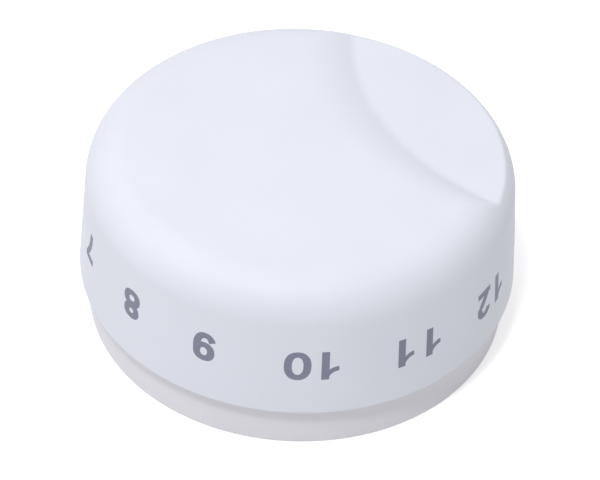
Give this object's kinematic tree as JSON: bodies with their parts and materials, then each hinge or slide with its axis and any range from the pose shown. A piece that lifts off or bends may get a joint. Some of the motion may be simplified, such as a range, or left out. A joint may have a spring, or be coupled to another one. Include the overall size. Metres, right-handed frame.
{
  "type": "rotary selector switch",
  "caption": "Low rotary selector switch: a round dial cap with a finger recess and printed levels turns over a base ring, with studs, a wiper and a sprung ball detent inside.",
  "frame": {"origin": "centre of the base ring's seating face", "axes": "+Z along the dial's axis, away from the panel; +X towards the dial's 0 and the wiper, at the off position"},
  "size_m": [0.044, 0.044, 0.0195],
  "materials": {
    "white_cap": "satin moulded",
    "white_base": "satin moulded",
    "acetal": "smooth moulded",
    "phenolic_board": "pressed laminate",
    "silvered_brass": "silver plated",
    "spring_bronze": "rolled strip",
    "zinc_plated_steel": "zinc plated",
    "ball_steel": "polished",
    "spring_steel": "drawn wire and strip"
  },
  "bodies": {
    "base": {"base_ring": "white_base", "contact_board": "phenolic_board", "common_contact": "silvered_brass", "contact_01": "silvered_brass", "contact_02": "silvered_brass", "contact_03": "silvered_brass", "contact_04": "silvered_brass", "contact_05": "silvered_brass", "contact_06": "silvered_brass", "contact_07": "silvered_brass", "contact_08": "silvered_brass", "contact_09": "silvered_brass", "contact_10": "silvered_brass", "contact_11": "silvered_brass", "contact_12": "silvered_brass", "index_plate": "zinc_plated_steel", "plate_screw_1": "zinc_plated_steel", "plate_screw_2": "zinc_plated_steel", "plate_screw_3": "zinc_plated_steel"},
    "dial": {"dial_cap": "white_cap", "rotor": "acetal", "wiper": "spring_bronze", "shaft_clip": "spring_steel", "detent_spring_1": "spring_steel", "detent_spring_2": "spring_steel"},
    "first_ball": {"detent_ball_1": "ball_steel"},
    "second_ball": {"detent_ball_2": "ball_steel"}
  },
  "joints": [
    {"name": "dial_turn", "type": "hinge", "parent": "base", "child": "dial", "pos_m": [0, 0, 0], "axis": [0, 0, -1], "range_deg": [0, 332.31]},
    {"name": "first_ball_press", "type": "slide", "parent": "dial", "child": "first_ball", "axis": [0, 0, 1], "range_m": [-0.0005, 0], "stiffness_N_per_m": 200, "springref_m": 0.001, "deforming": ["detent_spring_1"]},
    {"name": "second_ball_press", "type": "slide", "parent": "dial", "child": "second_ball", "axis": [0, 0, 1], "range_m": [-0.0005, 0], "stiffness_N_per_m": 200, "springref_m": 0.001, "deforming": ["detent_spring_2"]}
  ]
}
